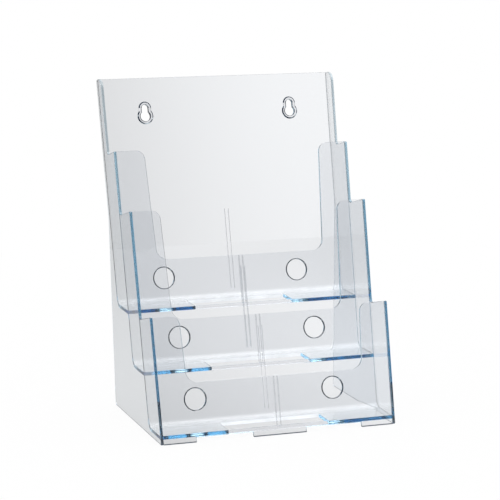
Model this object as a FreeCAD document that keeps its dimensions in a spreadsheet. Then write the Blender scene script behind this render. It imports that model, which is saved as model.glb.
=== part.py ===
import FreeCAD, Part
import math
import os
import Sketcher
from FreeCAD import Placement, Rotation, Vector

# Three-pocket tiered magazine rack in clear plastic, wider at the top than at the foot.
# Two stepped side walls carry four reclined panels. The rear three panels each bend forward at
# the bottom into the level floor of one pocket, and the panel in front closes that pocket.
# Frame: X across the rack, -Y to the front, +Z up, origin on the table under the middle of the rack.

DIMENSIONS = [
    ("base_width", 235.4, "outside width across the side walls at the table"),
    ("side_draft", 0.86, "degrees that each side wall leans outwards"),
    ("recline", 14.0, "degrees that every panel leans back"),
    ("wall", 2.6, "thickness of the side walls"),
    ("panel", 2.6, "thickness of the panels"),
    ("floor_panel", 3.2, "thickness of the pocket floors"),
    ("pocket_pitch", 38.4, "level distance from one panel to the next"),
    ("tier_step", 49.4, "height from one pocket floor to the next"),
    ("foot_height", 4.6, "clearance between the feet and the lowest floor"),
    ("rear_ear_rise", 150.8, "height of the rear pocket's ears above its floor"),
    ("middle_ear_rise", 149.0, "height of the middle pocket's ears above its floor"),
    ("front_ear_rise", 107.8, "height of the front pocket's ears above its floor"),
    ("back_rise", 215.8, "height of the back panel above its floor"),
    ("cutout_rise", 46.6, "height of a finger cutout above the floor of its pocket"),
    ("cutout_width", 182.0, "width of the finger cutouts at the top of the ears"),
    ("cutout_draft", 2.6, "degrees that the sides of a cutout open upwards"),
    ("ear_radius", 9.0, "rounding of the ears' inner top corners"),
    ("cutout_radius", 11.0, "rounding of the cutouts' bottom corners"),
    ("bend_radius", 8.0, "inside radius where a panel bends into its floor"),
    ("flange", 12.0, "side wall standing in front of the back panel"),
    ("rear_lip", 2.4, "side wall standing behind the back panel"),
    ("stand_depth", 159.5, "depth of the side walls at the table"),
    ("knee_height", 190.0, "height where the rear edge leaves the back panel"),
    ("crown_radius", 11.0, "rounding of the side walls' top front corner"),
    ("ledge_radius", 4.0, "hollow at the inner end of each ledge"),
    ("heel_radius", 4.0, "rounding of the side walls' bottom rear corner"),
    ("tip_radius", 1.2, "rounding of the other outer corners"),
    ("hole_radius", 10.3, "round holes low in the rear three panels"),
    ("hole_spacing", 140.2, "distance between the two holes of a panel"),
    ("hole_rise", 21.6, "height of the holes above the pocket floor"),
    ("window_width", 101.0, "width of the opening in each floor"),
    ("window_depth", 27.4, "distance from the floor's front edge to the back of that opening"),
    ("window_lip", 1.2, "strip of floor left in front of the opening"),
    ("key_spacing", 152.6, "distance between the two keyholes"),
    ("key_rise", 178.6, "height of the keyholes' entry circle above the rear floor"),
    ("key_radius", 5.2, "entry circle of a keyhole"),
    ("key_slot_radius", 3.5, "round upper end of a keyhole"),
    ("key_travel", 8.2, "distance between the two circles of a keyhole"),
    ("rim_width", 2.9, "width of the raised rim round a keyhole"),
    ("rim_height", 1.4, "height of that rim above the panel"),
    ("rim_chamfer", 0.8, "chamfer on the rim's outer edge"),
    ("guide_gap", 2.9, "gap between the two ribs of a divider guide"),
    ("guide_rib", 0.9, "width of one rib"),
    ("guide_height", 1.5, "height of the ribs above the panel"),
    ("guide_start", 7.2, "height of the rear guides above the pocket floor"),
    ("guide_length", 78.0, "length of the rear guides"),
    ("foot_gap", 56.5, "width of each gap between the front feet"),
    ("centre_foot", 53.0, "width of the centre foot"),
]

LEAN = "(dims.recline * 1deg)"
DRAFT = "(dims.side_draft * 1deg)"
THROUGH = f"(dims.panel / cos({LEAN}))"
GAP = f"(dims.pocket_pitch * cos({LEAN}))"
FLOOR_TOP = "(dims.foot_height + dims.floor_panel)"
HALF_DEPTH = (f"((3 * dims.pocket_pitch + ({FLOOR_TOP} + 2 * dims.tier_step + dims.back_rise) * tan({LEAN})"
              f" + (dims.panel + dims.rear_lip) * cos({LEAN})) / 2)")
REACH = 12.0  # how far a cutting outline runs past the edge that it opens

doc = FreeCAD.newDocument("magazine_rack")
dims = doc.addObject("Spreadsheet::Sheet", "dims")
for row, (alias, value, meaning) in enumerate(DIMENSIONS, start=1):
    dims.set(f"A{row}", alias)
    dims.set(f"B{row}", str(value))
    dims.set(f"C{row}", meaning)
    dims.setAlias(f"B{row}", alias)
doc.recompute()


def number(expression):
    """Value of an expression over the spreadsheet, in millimetres."""
    result = dims.evalExpression(expression)
    return float(getattr(result, "Value", result))


def floor_height(tier):
    """Top of the pocket floor of a tier, from 1 at the front to 3 at the back."""
    return f"({FLOOR_TOP} + {tier - 1} * dims.tier_step)"


def behind(point, distance):
    """Point of a side outline, moved back square to the panels."""
    return (f"{point[0]} + ({distance}) * cos({LEAN})", f"{point[1]} - ({distance}) * sin({LEAN})")


def on_panel(x, up, back=0.0):
    """Place on a reclined panel, measured from the line where it meets its floor."""
    lean = math.radians(number("dims.recline"))
    return Vector(x, up * math.sin(lean) + back * math.cos(lean), up * math.cos(lean) - back * math.sin(lean))


# ---------------------------------------------------------------- sketches and features

def new_body(name):
    body = doc.addObject("PartDesign::Body", name)
    body.Label = name
    return body


def sketch_on(body, role, name):
    """Empty sketch on one of the body's own origin planes."""
    plane = next(item for item in body.Origin.OriginFeatures if item.Role == role)
    sketch = body.newObject("Sketcher::SketchObject", f"{body.Name}_{name}")
    sketch.AttachmentSupport = [(plane, "")]
    sketch.MapMode = "FlatFace"
    return sketch


def reclined_sketch(body, name, back="0"):
    """Sketch in the plane of the panel's front face, or a distance behind it."""
    sketch = sketch_on(body, "XZ_Plane", name)
    sketch.AttachmentOffset = Placement(Vector(0, 0, 0), Rotation(Vector(1, 0, 0), -number("dims.recline")))
    sketch.setExpression("AttachmentOffset.Rotation.Angle", "-dims.recline * 1deg")
    sketch.setExpression("AttachmentOffset.Base.y", f"-({back}) * sin({LEAN})")
    sketch.setExpression("AttachmentOffset.Base.z", f"-({back}) * cos({LEAN})")
    return sketch


def bind(sketch, kind, *place, to):
    """Sized constraint whose value follows an expression."""
    index = sketch.addConstraint(Sketcher.Constraint(kind, *place, number(to)))
    sketch.setExpression(f"Constraints[{index}]", to)


def outline(sketch, corners):
    """Closed straight-sided outline through corners, each an X and a Y expression."""
    points = [Vector(number(x), number(y), 0) for x, y in corners]
    edges = []
    for start, end in zip(points, points[1:] + points[:1]):
        edges.append(sketch.addGeometry(Part.LineSegment(start, end), False))
    for edge, following, (x, y) in zip(edges, edges[1:] + edges[:1], corners):
        sketch.addConstraint(Sketcher.Constraint("Coincident", edge, 2, following, 1))
        bind(sketch, "DistanceX", -1, 1, edge, 1, to=x)
        bind(sketch, "DistanceY", -1, 1, edge, 1, to=y)


def circle(sketch, x, y, radius):
    centre = Vector(number(x), number(y), 0)
    edge = sketch.addGeometry(Part.Circle(centre, Vector(0, 0, 1), number(radius)), False)
    bind(sketch, "DistanceX", -1, 1, edge, 3, to=x)
    bind(sketch, "DistanceY", -1, 1, edge, 3, to=y)
    bind(sketch, "Radius", edge, to=radius)


def arched_slot(sketch, x, bottom, top, radius):
    """Upright slot with a square lower end at bottom and a round upper end centred at top."""
    left, right = f"{x} - ({radius})", f"{x} + ({radius})"
    corners = [(left, top), (left, bottom), (right, bottom), (right, top)]
    points = [Vector(number(px), number(py), 0) for px, py in corners]
    sides = [sketch.addGeometry(Part.LineSegment(a, b), False) for a, b in zip(points, points[1:])]
    rim = Part.Circle(Vector(number(x), number(top), 0), Vector(0, 0, 1), number(radius))
    arch = sketch.addGeometry(Part.ArcOfCircle(rim, 0, math.pi), False)
    for first, second in zip(sides, sides[1:] + [arch]):
        sketch.addConstraint(Sketcher.Constraint("Coincident", first, 2, second, 1))
    sketch.addConstraint(Sketcher.Constraint("Coincident", arch, 2, sides[0], 1))
    for side, (px, py) in zip(sides, corners):
        bind(sketch, "DistanceX", -1, 1, side, 1, to=px)
        bind(sketch, "DistanceY", -1, 1, side, 1, to=py)
    bind(sketch, "DistanceX", -1, 1, arch, 1, to=right)
    bind(sketch, "DistanceY", -1, 1, arch, 1, to=top)
    bind(sketch, "DistanceY", -1, 1, arch, 3, to=top)


def feature(body, kind, name, sketch, length=None, **settings):
    """Pad or pocket of a sketch: of a bound length, or through everything."""
    made = body.newObject(f"PartDesign::{kind}", f"{body.Name}_{name}")
    made.Profile = sketch
    if length:
        made.setExpression("Length", length)
    else:
        made.Type = "ThroughAll"
    for key, value in settings.items():
        setattr(made, key, value)
    sketch.Visibility = False
    doc.recompute()
    return made


def edges_at(base, places):
    """Names of the edges of a feature that pass through the places."""
    names = []
    for place in places:
        spot = Part.Vertex(place)
        found = [i for i, edge in enumerate(base.Shape.Edges, 1) if edge.distToShape(spot)[0] < 0.01]
        if not found:
            raise RuntimeError(f"no edge of {base.Name} passes through {tuple(place)}")
        names += [f"Edge{i}" for i in found]
    return names


def dress(body, kind, name, places, **sizes):
    """Fillet or chamfer, of a bound size, on the edges of the body that pass through the places."""
    base = body.Tip
    made = body.newObject(f"PartDesign::{kind}", f"{body.Name}_{name}")
    made.Base = (base, edges_at(base, places))
    for size, expression in sizes.items():
        made.setExpression(size, expression)
    body.Tip = made
    doc.recompute()


def stand(body, tier, base):
    """Move a body so that its origin lies on the front face of a tier's panel, at a height."""
    forward = f"{tier} * dims.pocket_pitch + {base} * tan({LEAN})"
    body.setExpression("Placement.Base.y", f"{forward} - {HALF_DEPTH}")
    body.setExpression("Placement.Base.z", base)


# ---------------------------------------------------------------- side walls

def side_outline():
    """Corners of a side wall, from the front foot up the steps and down the rear edge."""
    corners = [("0", "0")]
    for tier, pocket in enumerate(("front", "middle", "rear"), 1):
        height = f"({floor_height(tier)} + dims.{pocket}_ear_rise)"
        ear = (f"{tier - 1} * dims.pocket_pitch + {height} * tan({LEAN})", height)
        ledge = GAP if tier < 3 else f"{GAP} - dims.flange * cos({LEAN})"
        corners += [ear, behind(ear, ledge)]
    height = f"({floor_height(3)} + dims.back_rise)"
    crown = (f"3 * dims.pocket_pitch + {height} * tan({LEAN})", height)
    rear = f"dims.rear_lip * cos({LEAN})"
    corners += [behind(crown, f"-dims.flange * cos({LEAN})"), behind(crown, f"dims.panel + {rear}")]
    knee = f"3 * dims.pocket_pitch + {THROUGH} + dims.rear_lip + dims.knee_height * tan({LEAN})"
    corners += [(knee, "dims.knee_height"), ("dims.stand_depth", "0")]
    return corners


def side_wall(name, side):
    """Stepped side wall: side is -1 for the left wall and 1 for the right one."""
    body = new_body(name)
    corners = side_outline()
    sketch = sketch_on(body, "YZ_Plane", "outline")
    outline(sketch, corners)
    feature(body, "Pad", "plate", sketch, "dims.wall", Reversed=side > 0)
    inward = -side * number("dims.wall") / 2
    places = [Vector(inward, number(y), number(z)) for y, z in corners]
    front_foot, ears, ledges = places[0], places[1:6:2], places[2:7:2]
    crown, rear_top, knee, heel = places[7:]
    dress(body, "Fillet", "ledge_hollows", ledges, Radius="dims.ledge_radius")
    dress(body, "Fillet", "crown_rounding", [crown], Radius="dims.crown_radius")
    dress(body, "Fillet", "heel_rounding", [heel], Radius="dims.heel_radius")
    dress(body, "Fillet", "tip_rounding", [front_foot, rear_top, *ears], Radius="dims.tip_radius")
    body.Placement = Placement(Vector(0, 0, 0), Rotation(Vector(0, side, 0), number("dims.side_draft")))
    body.setExpression("Placement.Rotation.Angle", DRAFT)
    body.setExpression("Placement.Base.x", f"{side} * dims.base_width / 2")
    body.setExpression("Placement.Base.y", f"-{HALF_DEPTH}")
    return body


# ---------------------------------------------------------------- panels

def panel_body(name, tier, rise, has_floor=True):
    """Reclined panel between the side walls, with the floor that it bends into.

    The body's origin is where the panel's front face meets the floor's top. Tier 1 to 3 are the
    panels behind the front, middle and rear pockets; tier 0 is the front panel, down to the table.
    """
    body = new_body(name)
    base = floor_height(tier) if has_floor else "0"
    top = (f"{rise} * tan({LEAN})", rise)
    corners = [("0", "0"), top, behind(top, "dims.panel")]
    if has_floor:
        depth = f"(dims.pocket_pitch - {THROUGH})"
        corners += [(f"{THROUGH} - dims.floor_panel * tan({LEAN})", "-dims.floor_panel"),
                    (f"-{depth} - dims.floor_panel * tan({LEAN})", "-dims.floor_panel"),
                    (f"-{depth}", "0")]
    else:
        corners.append((THROUGH, "0"))
    sketch = sketch_on(body, "YZ_Plane", "side")
    outline(sketch, corners)
    feature(body, "Pad", "blank", sketch, "2 * dims.base_width", Midplane=True)

    half = f"(dims.base_width / 2 - dims.wall / cos({DRAFT}) + {base} * tan({DRAFT}))"
    low, high = f"(-{REACH})", f"({rise} + {REACH})"
    ends = sketch_on(body, "XZ_Plane", "end_outlines")
    for side in (-1, 1):
        inner_low, inner_high = (f"{side} * ({half} + {level} * tan({DRAFT}))" for level in (low, high))
        outer = f"{side} * 2 * dims.base_width"
        outline(ends, [(inner_low, low), (inner_high, high), (outer, high), (outer, low)])
    feature(body, "Pocket", "ends", ends, Midplane=True)

    if has_floor:
        bends = [Vector(0, number(y), number(z)) for y, z in (corners[0], corners[3])]
        dress(body, "Fillet", "inner_bend", bends[:1], Radius="dims.bend_radius")
        dress(body, "Fillet", "outer_bend", bends[1:], Radius="dims.bend_radius + dims.panel")
    stand(body, tier, base)
    return body


def finger_cutout(body, rise, bottom):
    """Wide opening between two ears, from the panel's top edge down to a height on the panel."""
    along_top, along_bottom = f"({rise} / cos({LEAN}))", f"(({bottom}) / cos({LEAN}))"
    slant = "tan(dims.cutout_draft * 1deg)"
    half_top = f"(dims.cutout_width / 2 + {REACH} * {slant})"
    half_ear = "(dims.cutout_width / 2)"
    half_bottom = f"(dims.cutout_width / 2 - ({along_top} - {along_bottom}) * {slant})"
    sketch = reclined_sketch(body, "cutout_outline")
    outline(sketch, [(f"-{half_top}", f"{along_top} + {REACH}"), (f"-{half_bottom}", along_bottom),
                     (half_bottom, along_bottom), (half_top, f"{along_top} + {REACH}")])
    feature(body, "Pocket", "cutout", sketch)
    middle = number("dims.panel") / 2
    for name, half, along, radius in (("ear_rounding", half_ear, along_top, "dims.ear_radius"),
                                      ("cutout_rounding", half_bottom, along_bottom, "dims.cutout_radius")):
        places = [on_panel(side * number(half), number(along), middle) for side in (-1, 1)]
        dress(body, "Fillet", name, places, Radius=radius)


def round_holes(body):
    sketch = reclined_sketch(body, "hole_circles")
    for side in (-1, 1):
        circle(sketch, f"{side} * dims.hole_spacing / 2", f"dims.hole_rise / cos({LEAN})", "dims.hole_radius")
    feature(body, "Pocket", "holes", sketch)


def floor_window(body):
    """Opening in the middle of the floor, from a narrow lip at its front edge back to the bend."""
    front_edge = f"-(dims.pocket_pitch - {THROUGH})"
    left, right = "-dims.window_width / 2", "dims.window_width / 2"
    near, far = f"{front_edge} + dims.window_lip", f"{front_edge} + dims.window_depth"
    sketch = sketch_on(body, "XY_Plane", "window_outline")
    outline(sketch, [(left, near), (right, near), (right, far), (left, far)])
    feature(body, "Pocket", "window", sketch, "4 * dims.floor_panel", Midplane=True)


def keyhole(body, kind, name, side, grow="0", length=None, **settings):
    """Entry circle and round-ended slot above it, both grown outwards by the same width."""
    x = f"({side} * dims.key_spacing / 2)"
    low = f"(dims.key_rise / cos({LEAN}))"
    entry = reclined_sketch(body, f"{name}_entry_circle")
    circle(entry, x, low, f"dims.key_radius + {grow}")
    feature(body, kind, f"{name}_entry", entry, length, **settings)
    slot = reclined_sketch(body, f"{name}_slot_outline")
    arched_slot(slot, x, low, f"{low} + dims.key_travel", f"(dims.key_slot_radius + {grow})")
    feature(body, kind, f"{name}_slot", slot, length, **settings)


def foot_gaps(body):
    """Two gaps in the front panel's bottom edge, which leave three feet."""
    sketch = sketch_on(body, "XZ_Plane", "gap_outlines")
    low, high = f"-{REACH}", "dims.foot_height"
    for side in (-1, 1):
        near = f"{side} * dims.centre_foot / 2"
        far = f"{side} * (dims.centre_foot / 2 + dims.foot_gap)"
        outline(sketch, [(near, low), (far, low), (far, high), (near, high)])
    feature(body, "Pocket", "gaps", sketch, "8 * dims.panel", Midplane=True)


# ---------------------------------------------------------------- trim

def divider_guide(name, tier, start, length, on_back, base):
    """Pair of ribs closed by a short bar at the lower end, on one face of a panel."""
    body = new_body(name)
    inner, outer = "dims.guide_gap / 2", "(dims.guide_gap / 2 + dims.guide_rib)"
    low, high = f"({start}) / cos({LEAN})", f"({start} + {length}) / cos({LEAN})"
    sill = f"{low} + dims.guide_rib"
    sketch = reclined_sketch(body, "channel", "dims.panel" if on_back else "0")
    outline(sketch, [(f"-{outer}", low), (outer, low), (outer, high), (inner, high),
                     (inner, sill), (f"-{inner}", sill), (f"-{inner}", high), (f"-{outer}", high)])
    feature(body, "Pad", "ribs", sketch, "dims.guide_height", Reversed=on_back)
    stand(body, tier, base)
    return body


def keyhole_rim(name, side):
    """Raised rim bonded to the back panel's front face round a keyhole."""
    body = new_body(name)
    keyhole(body, "Pad", "rim", side, "dims.rim_width", "dims.rim_height")
    front = -number("dims.rim_height")
    low = number(f"dims.key_rise / cos({LEAN})")
    x = side * number("dims.key_spacing") / 2
    foot = on_panel(x, low - number("dims.key_radius + dims.rim_width"), front)
    head = on_panel(x, low + number("dims.key_travel + dims.key_slot_radius + dims.rim_width"), front)
    dress(body, "Chamfer", "rim_edge", [foot, head], Size="dims.rim_chamfer")
    keyhole(body, "Pocket", "hole", side, Reversed=True)
    stand(body, 3, floor_height(3))
    return body


# ---------------------------------------------------------------- the rack

left_wall = side_wall("left_side_wall", -1)
right_wall = side_wall("right_side_wall", 1)

back_panel = panel_body("back_panel", 3, "dims.back_rise")
round_holes(back_panel)
floor_window(back_panel)
for side, label in ((-1, "left"), (1, "right")):
    keyhole(back_panel, "Pocket", f"{label}_keyhole", side)

panels = [back_panel]
for tier, label, pocket in ((2, "middle_panel", "rear"), (1, "low_panel", "middle")):
    rise = f"(dims.tier_step + dims.{pocket}_ear_rise)"
    body = panel_body(label, tier, rise)
    finger_cutout(body, rise, "dims.tier_step + dims.cutout_rise")
    round_holes(body)
    floor_window(body)
    panels.append(body)

front_rise = f"({FLOOR_TOP} + dims.front_ear_rise)"
front_panel = panel_body("front_panel", 0, front_rise, has_floor=False)
finger_cutout(front_panel, front_rise, f"{FLOOR_TOP} + dims.cutout_rise")
foot_gaps(front_panel)
panels.append(front_panel)

guides = []
for tier, label in ((3, "rear"), (2, "middle"), (1, "front")):
    base = floor_height(tier)
    guides.append(divider_guide(f"{label}_pocket_back_guide", tier, "dims.guide_start", "dims.guide_length",
                                False, base))
    front_base, start = (floor_height(tier - 1), "dims.tier_step") if tier > 1 else ("0", FLOOR_TOP)
    guides.append(divider_guide(f"{label}_pocket_front_guide", tier - 1, start, "dims.cutout_rise",
                                True, front_base))
rims = [keyhole_rim("left_keyhole_rim", -1), keyhole_rim("right_keyhole_rim", 1)]

subparts = [left_wall, right_wall, *panels, *guides, *rims]
doc.recompute()

for item in doc.Objects:
    if "Invalid" in item.State or "Error" in item.State:
        raise RuntimeError(f"{item.Name} failed: {item.State}")
os.makedirs("parts", exist_ok=True)
for body in subparts:
    shape = body.Shape
    if shape.isNull() or not shape.isValid() or len(shape.Solids) != 1:
        raise RuntimeError(f"{body.Label} is not one valid solid")
    shape.exportStep(f"parts/{body.Label}.step")
    box = shape.BoundBox
    print(f"{body.Label:28s} {shape.Volume / 1000:8.2f} cm3  x {box.XMin:7.1f} {box.XMax:7.1f}"
          f"  y {box.YMin:7.1f} {box.YMax:7.1f}  z {box.ZMin:6.2f} {box.ZMax:6.1f}")
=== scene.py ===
import bpy
import math
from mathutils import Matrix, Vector


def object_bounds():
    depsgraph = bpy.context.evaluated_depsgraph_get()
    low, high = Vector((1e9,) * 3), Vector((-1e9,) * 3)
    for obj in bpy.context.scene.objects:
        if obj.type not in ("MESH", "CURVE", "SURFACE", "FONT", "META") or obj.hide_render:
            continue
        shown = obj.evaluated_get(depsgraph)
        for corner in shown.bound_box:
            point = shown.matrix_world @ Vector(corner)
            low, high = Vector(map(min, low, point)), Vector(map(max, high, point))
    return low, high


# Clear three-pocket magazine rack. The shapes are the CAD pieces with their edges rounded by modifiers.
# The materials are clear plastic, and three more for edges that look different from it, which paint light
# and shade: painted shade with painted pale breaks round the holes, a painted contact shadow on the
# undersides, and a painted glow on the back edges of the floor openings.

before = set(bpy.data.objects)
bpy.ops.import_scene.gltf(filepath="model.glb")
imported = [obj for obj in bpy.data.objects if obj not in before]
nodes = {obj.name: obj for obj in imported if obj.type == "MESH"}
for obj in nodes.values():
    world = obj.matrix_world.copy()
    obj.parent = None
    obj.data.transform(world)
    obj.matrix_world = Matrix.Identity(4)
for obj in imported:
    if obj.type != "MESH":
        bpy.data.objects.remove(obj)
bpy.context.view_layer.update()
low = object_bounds()[0]
scene = bpy.context.scene

MM = 0.001
FLOORED = ("back_panel", "middle_panel", "low_panel")
FAINT_RIBS = ("rear_pocket_back_guide", "front_pocket_back_guide")
PLASTIC_IOR, FAINT_IOR = 1.56, 1.14
SHARP_ANGLE = math.radians(30)
BEVEL_ANGLE = math.radians(35)
HOLE_EDGE_ANGLE = 0.6  # radians
HOLE_BEVEL = 0.9 * MM


# ---------------------------------------------------------------- shader helpers

def new_material(name):
    """Empty node material and its node tree."""
    material = bpy.data.materials.new(name)
    material.use_nodes = True
    material.node_tree.nodes.clear()
    return material, material.node_tree


def noise(tree, scale, detail):
    """Noise over the piece's own coordinates."""
    place = tree.nodes.new("ShaderNodeTexCoord")
    texture = tree.nodes.new("ShaderNodeTexNoise")
    texture.inputs["Scale"].default_value = scale
    texture.inputs["Detail"].default_value = detail
    tree.links.new(place.outputs["Object"], texture.inputs["Vector"])
    return texture.outputs["Fac"]


def map_range(tree, value, start, end, first, last, interpolation="LINEAR"):
    """Value from first to last while the source goes from start to end."""
    node = tree.nodes.new("ShaderNodeMapRange")
    node.interpolation_type = interpolation
    for socket, number in (("From Min", start), ("From Max", end), ("To Min", first), ("To Max", last)):
        node.inputs[socket].default_value = number
    tree.links.new(value, node.inputs["Value"])
    return node.outputs["Result"]


def smooth_step(tree, value, start, end, first, last):
    return map_range(tree, value, start, end, first, last, "SMOOTHSTEP")


def calculate(tree, operation, *terms):
    """Result of a math node over numbers and sockets."""
    node = tree.nodes.new("ShaderNodeMath")
    node.operation = operation
    for socket, term in zip(node.inputs, terms):
        if isinstance(term, float):
            socket.default_value = term
        else:
            tree.links.new(term, socket)
    return node.outputs["Value"]


def colour_ramp(tree, value, *stops):
    """Colour between two stops, each a position and a colour."""
    node = tree.nodes.new("ShaderNodeValToRGB")
    for element, (position, colour) in zip(node.color_ramp.elements, stops):
        element.position = position
        element.color = (*colour, 1)
    tree.links.new(value, node.inputs["Fac"])
    return node.outputs["Color"]


def principled(tree, constants):
    """Principled shader on the material's output, with the constants on its own sockets."""
    shader = tree.nodes.new("ShaderNodeBsdfPrincipled")
    for socket, value in constants.items():
        shader.inputs[socket].default_value = value
    output = tree.nodes.new("ShaderNodeOutputMaterial")
    tree.links.new(shader.outputs["BSDF"], output.inputs["Surface"])
    return shader, output


# ---------------------------------------------------------------- materials

def clear_plastic(name, ior):
    """Clear moulded plastic with a faint blue body colour, which shows along its edges.

    Its surface is very slightly wavy, and its gloss varies a little from place to place.
    """
    material, tree = new_material(name)
    link = tree.links.new
    surface, output = principled(tree, {
        "Base Color": (0.973, 0.962, 0.970, 1), "Transmission Weight": 1.0, "IOR": ior})
    bump = tree.nodes.new("ShaderNodeBump")
    bump.inputs["Strength"].default_value = 0.05
    bump.inputs["Distance"].default_value = 1.0 * MM
    link(noise(tree, 14.0, 1.0), bump.inputs["Height"])
    link(bump.outputs["Normal"], surface.inputs["Normal"])
    link(map_range(tree, noise(tree, 45.0, 2.0), 0.35, 0.65, 0.012, 0.032), surface.inputs["Roughness"])
    volume = tree.nodes.new("ShaderNodeVolumeAbsorption")
    volume.inputs["Color"].default_value = (0.08, 0.51, 0.70, 1)
    volume.inputs["Density"].default_value = 21.0
    link(volume.outputs["Volume"], output.inputs["Volume"])
    return material


def painted_hole_shade_material():
    """Rounded edge of a hole, painted dark blue as shade, with painted pale breaks of light where it
    faces down, at the top of the hole.
    """
    material, tree = new_material("hole_painted_shade")
    surface, _ = principled(tree, {"Roughness": 0.35, "Specular IOR Level": 0.1})
    facing = tree.nodes.new("ShaderNodeNewGeometry")
    axes = tree.nodes.new("ShaderNodeSeparateXYZ")
    tree.links.new(facing.outputs["Normal"], axes.inputs["Vector"])
    # Painted light: pale where the edge faces down and dark blue painted shade elsewhere, broken up by
    # noise.
    downward = calculate(tree, "MULTIPLY_ADD", axes.outputs["Z"], -0.22, noise(tree, 260.0, 2.0))
    colour = colour_ramp(tree, downward, (0.56, (0.006, 0.022, 0.050)), (0.66, (0.75, 0.86, 0.92)))
    tree.links.new(colour, surface.inputs["Base Color"])
    return material


def shaded_edge():
    """Underside that stands on the table, with a painted contact shadow: dark grey, unevenly dark at
    random.
    """
    material, tree = new_material("resting_painted_shadow")
    surface, _ = principled(tree, {"Roughness": 0.5, "Specular IOR Level": 0.1})
    colour = colour_ramp(tree, noise(tree, 120.0, 2.0),
                         (0.3, (0.10, 0.12, 0.15)), (0.7, (0.22, 0.25, 0.30)))
    tree.links.new(colour, surface.inputs["Base Color"])
    return material


def painted_glow_material():
    """Back edge of a floor opening, rough like a frosted edge, with a painted glow: its emission stands
    in for the light that a real frosted edge scatters.
    """
    material, tree = new_material("painted_glow_material")
    surface, _ = principled(tree, {
        "Base Color": (0.30, 0.31, 0.32, 1), "Roughness": 0.6, "Specular IOR Level": 0.1,
        "Emission Color": (0.96, 0.985, 1.0, 1)})
    glow = map_range(tree, noise(tree, 90.0, 3.0), 0.3, 0.7, 0.80, 1.0)
    tree.links.new(glow, surface.inputs["Emission Strength"])
    return material


# ---------------------------------------------------------------- geometry nodes

def node_group(name):
    """Empty geometry node group, its input and its output."""
    tree = bpy.data.node_groups.new(name, "GeometryNodeTree")
    for direction in ("INPUT", "OUTPUT"):
        tree.interface.new_socket("Geometry", in_out=direction, socket_type="NodeSocketGeometry")
    return tree, tree.nodes.new("NodeGroupInput").outputs[0], tree.nodes.new("NodeGroupOutput").inputs[0]


def compare(tree, value, operation, number):
    """Socket that is true where the value passes the comparison."""
    node = tree.nodes.new("FunctionNodeCompare")
    node.data_type, node.operation = "FLOAT", operation
    node.inputs["B"].default_value = number
    tree.links.new(value, node.inputs["A"])
    return node.outputs["Result"]


def edge_angle(tree):
    return tree.nodes.new("GeometryNodeInputMeshEdgeAngle").outputs["Unsigned Angle"]


def clean_mesh_group():
    """Join the faces of a CAD mesh, and shade it smooth between sharp edges."""
    tree, start, end = node_group("clean_mesh")
    link = tree.links.new
    bare = tree.nodes.new("GeometryNodeRemoveAttribute")
    bare.inputs["Name"].default_value = "custom_normal"
    merge = tree.nodes.new("GeometryNodeMergeByDistance")
    merge.inputs["Distance"].default_value = 0.002 * MM
    smooth = tree.nodes.new("GeometryNodeSetShadeSmooth")
    smooth.domain = "FACE"
    crease = tree.nodes.new("GeometryNodeSetShadeSmooth")
    crease.domain = "EDGE"
    crease.inputs["Shade Smooth"].default_value = False
    link(start, bare.inputs["Geometry"])
    link(bare.outputs[0], merge.inputs["Geometry"])
    link(merge.outputs[0], smooth.inputs["Geometry"])
    link(smooth.outputs[0], crease.inputs["Geometry"])
    link(compare(tree, edge_angle(tree), "GREATER_THAN", SHARP_ANGLE), crease.inputs["Selection"])
    link(crease.outputs[0], end)
    return tree


def chosen_parts(tree, tests):
    """Socket that is true where a face or edge passes every test: (quantity, operation, number)."""
    link = tree.links.new
    place, normal = tree.nodes.new("ShaderNodeSeparateXYZ"), tree.nodes.new("ShaderNodeSeparateXYZ")
    link(tree.nodes.new("GeometryNodeInputPosition").outputs[0], place.inputs[0])
    link(tree.nodes.new("GeometryNodeInputNormal").outputs[0], normal.inputs[0])
    values = {"aside": calculate(tree, "ABSOLUTE", place.outputs["X"]),
              "y": place.outputs["Y"],
              "z": place.outputs["Z"],
              "square_y": calculate(tree, "ABSOLUTE", normal.outputs["Y"]),
              "facing_y": normal.outputs["Y"],
              "area": tree.nodes.new("GeometryNodeInputMeshFaceArea").outputs["Area"],
              "angle": edge_angle(tree)}
    chosen = None
    for quantity, operation, number in tests:
        passed = compare(tree, values[quantity], operation, number)
        if chosen:
            both = tree.nodes.new("FunctionNodeBooleanMath")
            link(chosen, both.inputs[0])
            link(passed, both.inputs[1])
            passed = both.outputs["Boolean"]
        chosen = passed
    return chosen


def below(quantity, number):
    return [(quantity, "LESS_THAN", number)]


def above(quantity, number):
    return [(quantity, "GREATER_THAN", number)]


def between(quantity, first, last):
    return above(quantity, first) + below(quantity, last)


def nodes_modifier(piece, label, group):
    piece.modifiers.new(label, "NODES").node_group = group


def paint(piece, label, material, tests):
    """Give a material to the faces that pass the tests."""
    tree, start, end = node_group(f"{piece.name}_{label}")
    setter = tree.nodes.new("GeometryNodeSetMaterial")
    setter.inputs["Material"].default_value = material
    tree.links.new(start, setter.inputs["Geometry"])
    tree.links.new(chosen_parts(tree, tests), setter.inputs["Selection"])
    tree.links.new(setter.outputs[0], end)
    nodes_modifier(piece, label, tree)


def weigh(piece, label, tests):
    """Give a bevel weight to the edges that pass the tests."""
    tree, start, end = node_group(f"{piece.name}_{label}")
    store = tree.nodes.new("GeometryNodeStoreNamedAttribute")
    store.domain = "EDGE"
    store.inputs["Name"].default_value = "bevel_weight_edge"
    store.inputs["Value"].default_value = 1.0
    tree.links.new(start, store.inputs["Geometry"])
    tree.links.new(chosen_parts(tree, tests), store.inputs["Selection"])
    tree.links.new(store.outputs[0], end)
    nodes_modifier(piece, label, tree)


# ---------------------------------------------------------------- pieces

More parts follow.
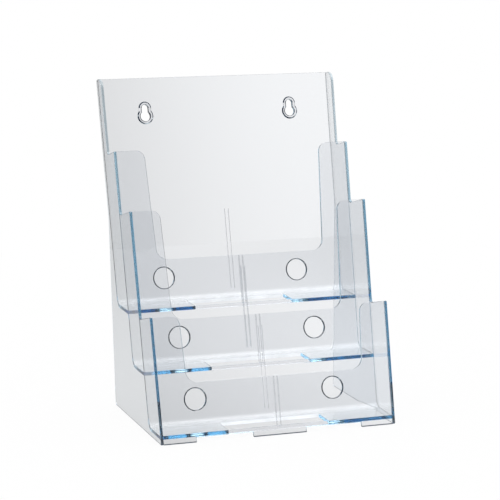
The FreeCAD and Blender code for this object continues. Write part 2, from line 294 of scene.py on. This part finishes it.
def bevel(piece, label, width, segments):
    """Round the edges where the surface turns by more than the bevel angle."""
    modifier = piece.modifiers.new(label, "BEVEL")
    modifier.width = width
    modifier.segments = segments
    modifier.limit_method = "ANGLE"
    modifier.angle_limit = BEVEL_ANGLE
    modifier.harden_normals = True
    return modifier


def edge_rounding(name):
    """Width and number of segments of a piece's rounded edges."""
    if "guide" in name:
        return 0.2 * MM, 2
    if "rim" in name:
        return 0.3 * MM, 2
    if name == "front_panel":
        return 0.35 * MM, 4
    return 0.58 * MM, 4


def tidy_mesh(piece):
    """Join the flat faces, and let the pieces overlap a hair so that no gap shows at a bond."""
    nodes_modifier(piece, "clean", clean_mesh)
    flat = piece.modifiers.new("flat_faces", "DECIMATE")
    flat.decimate_type = "DISSOLVE"
    flat.angle_limit = math.radians(0.5)
    grow = piece.modifiers.new("bond", "DISPLACE")
    grow.mid_level = 0.0
    grow.strength = 0.02 * MM


def finish_piece(name, piece):
    """Rounded edges, and the materials of a piece's sheet and of its special edges, which are painted
    shade, painted contact shadow and painted glow.
    """
    for slot in piece.material_slots:
        slot.material = faint_rib if name in FAINT_RIBS else plastic
    tidy_mesh(piece)
    corners = [piece.matrix_world @ Vector(corner) for corner in piece.bound_box]
    base, front = min(corner.z for corner in corners), min(corner.y for corner in corners)
    # Boxes round the holes of a floored panel, and round the keyholes of the whole rack.
    round_holes = between("aside", 58 * MM, 82.5 * MM) + between("z", base + 12 * MM, base + 37 * MM)
    keyholes = between("aside", 66 * MM, 86 * MM) + between("z", low.z + 270 * MM, low.z + 300 * MM)
    if name in FLOORED:
        weigh(piece, "hole_rims", above("angle", HOLE_EDGE_ANGLE) + round_holes)
        rims = bevel(piece, "soft_rims", HOLE_BEVEL, 4)
        rims.limit_method = "WEIGHT"
        rims.use_clamp_overlap = False
    bevel(piece, "soft_edges", *edge_rounding(name))
    if name in FLOORED:
        # Painted shade, with painted pale breaks, on the walls and rounded edges of the round holes.
        paint(piece, "hole_walls", hole_painted_shade,
              below("area", 8 * MM * MM) + above("square_y", 0.4) + round_holes)
        # Painted glow on the back edge of each floor opening.
        paint(piece, "window_painted_glow", window_painted_glow,
              below("facing_y", -0.3) + below("z", base + 3.3 * MM)
              + above("y", front + 10 * MM) + below("aside", 51 * MM))
    if name == "front_panel" or "wall" in name:
        # Painted contact shadow on the undersides that stand on the table.
        paint(piece, "resting_painted_shadow", resting_painted_shadow, below("z", low.z + 0.3 * MM))
    if name == "back_panel":
        # Painted shade on the walls and rounded edges of the keyholes.
        paint(piece, "keyhole_walls", hole_painted_shade, below("area", 1.2 * MM * MM) + keyholes)
    if "rim" in name:
        # Painted shade on the rounded edges of the rim round the keyhole.
        paint(piece, "keyhole_walls", hole_painted_shade, below("area", 0.6 * MM * MM) + keyholes)


plastic = clear_plastic("clear_plastic", PLASTIC_IOR)
faint_rib = clear_plastic("faint_rib", FAINT_IOR)
hole_painted_shade = painted_hole_shade_material()
window_painted_glow = painted_glow_material()
resting_painted_shadow = shaded_edge()
clean_mesh = clean_mesh_group()
for node_name, node_piece in nodes.items():
    finish_piece(node_name, node_piece)


# ---------------------------------------------------------------- floor and light

def through_plastic_only(tree, strength):
    """Full white for the eye and for diffuse surfaces, and the given strength by way of the plastic."""
    path = tree.nodes.new("ShaderNodeLightPath")
    mix = tree.nodes.new("ShaderNodeMix")
    mix.inputs["A"].default_value = 1.0
    tree.links.new(path.outputs["Is Glossy Ray"], mix.inputs["Factor"])
    tree.links.new(strength, mix.inputs["B"])
    return mix.outputs["Result"]


def axes_of(tree, output):
    """X, Y and Z of a texture coordinate."""
    place = tree.nodes.new("ShaderNodeTexCoord")
    axes = tree.nodes.new("ShaderNodeSeparateXYZ")
    tree.links.new(place.outputs[output], axes.inputs["Vector"])
    return axes.outputs


def studio_floor():
    """White floor. By way of the plastic it is darker to the left, and slightly darker far behind."""
    mesh = bpy.data.meshes.new("studio_floor")
    size = 0.9
    mesh.from_pydata([(-size, -size, 0), (size, -size, 0), (size, size, 0), (-size, size, 0)], [],
                     [(0, 1, 2, 3)])
    plane = bpy.data.objects.new("studio_floor", mesh)
    scene.collection.objects.link(plane)
    plane.location.z = -0.2 * MM
    material, tree = new_material("studio_white")
    link = tree.links.new
    axes = axes_of(tree, "Object")
    to_the_left = smooth_step(tree, axes["X"], -0.45, 0.27, 0.46, -0.03)
    past_the_front = smooth_step(tree, axes["Y"], -0.35, -0.12, 0.0, 1.0)
    to_the_back = smooth_step(tree, axes["Y"], 0.15, 0.85, 0.0, 0.09)
    dimming = calculate(tree, "MULTIPLY_ADD", to_the_left, past_the_front, to_the_back)
    diffuse = tree.nodes.new("ShaderNodeBsdfDiffuse")
    diffuse.inputs["Color"].default_value = (1, 1, 1, 1)
    glow = tree.nodes.new("ShaderNodeEmission")
    link(through_plastic_only(tree, calculate(tree, "SUBTRACT", 1.0, dimming)), glow.inputs["Strength"])
    mix = tree.nodes.new("ShaderNodeMixShader")
    mix.inputs["Fac"].default_value = 0.94
    output = tree.nodes.new("ShaderNodeOutputMaterial")
    link(diffuse.outputs["BSDF"], mix.inputs[1])
    link(glow.outputs["Emission"], mix.inputs[2])
    link(mix.outputs["Shader"], output.inputs["Surface"])
    mesh.materials.append(material)


def studio_light():
    """White all round.

    By way of the plastic it is dimmest from the front, dimmer from the left, and brightest overhead.
    Near the horizon and below, the sides and the front are nearly white.
    """
    world = bpy.data.worlds.new("studio")
    scene.world = world
    world.use_nodes = True
    tree = world.node_tree
    axes = axes_of(tree, "Generated")
    behind = smooth_step(tree, axes["Y"], 0.25, 0.80, 0.30, 1.0)
    across = calculate(tree, "MULTIPLY", smooth_step(tree, axes["X"], 0.16, 0.36, 0.67, 1.05),
                       smooth_step(tree, axes["X"], -0.4, 0.1, 0.78, 1.0))
    falloff = smooth_step(tree, axes["Z"], -0.19, -0.08, 0.96, 1.0)
    overhead = calculate(tree, "MULTIPLY", smooth_step(tree, axes["Z"], 0.50, 0.95, 0.0, 3.4),
                         smooth_step(tree, axes["Y"], -0.1, 0.3, 1.0, 0.5))
    skyline = calculate(tree, "MULTIPLY", smooth_step(tree, axes["Z"], 0.10, 0.24, 0.95, 0.0),
                        smooth_step(tree, axes["Y"], 0.45, 0.75, 1.0, 0.0))
    beyond = calculate(tree, "MULTIPLY", calculate(tree, "MULTIPLY", behind, across), falloff)
    around = calculate(tree, "MAXIMUM", beyond, skyline)
    background = tree.nodes["Background"]
    background.inputs["Color"].default_value = (1, 1, 1, 1)
    tree.links.new(through_plastic_only(tree, calculate(tree, "ADD", around, overhead)),
                   background.inputs["Strength"])


studio_floor()
studio_light()


# ---------------------------------------------------------------- camera and render depth

YAW, PITCH = math.radians(19.12), math.radians(10.295)
FRAME_PX, FOCAL_PX = 500.0, 1996.9
FROM_FRONT_EDGE = Vector((-0.6257, -1.7162, 0.5092))

camera = bpy.data.objects.new("camera", bpy.data.cameras.new("camera"))
scene.collection.objects.link(camera)
scene.camera = camera
camera.data.sensor_width = 36.0
camera.data.lens = camera.data.sensor_width * FOCAL_PX / FRAME_PX
camera.data.clip_start, camera.data.clip_end = 0.05, 50
camera.location = Vector((0, low.y, 0)) + FROM_FRONT_EDGE
forward = Vector((math.sin(YAW) * math.cos(PITCH), math.cos(YAW) * math.cos(PITCH), -math.sin(PITCH)))
camera.rotation_euler = forward.to_track_quat("-Z", "Y").to_euler()

# Light has to pass many clear sheets before it reaches the eye.
scene.cycles.max_bounces = 48
scene.cycles.glossy_bounces = 40
scene.cycles.transmission_bounces = 40
scene.cycles.transparent_max_bounces = 16
scene.view_settings.view_transform = "Standard"
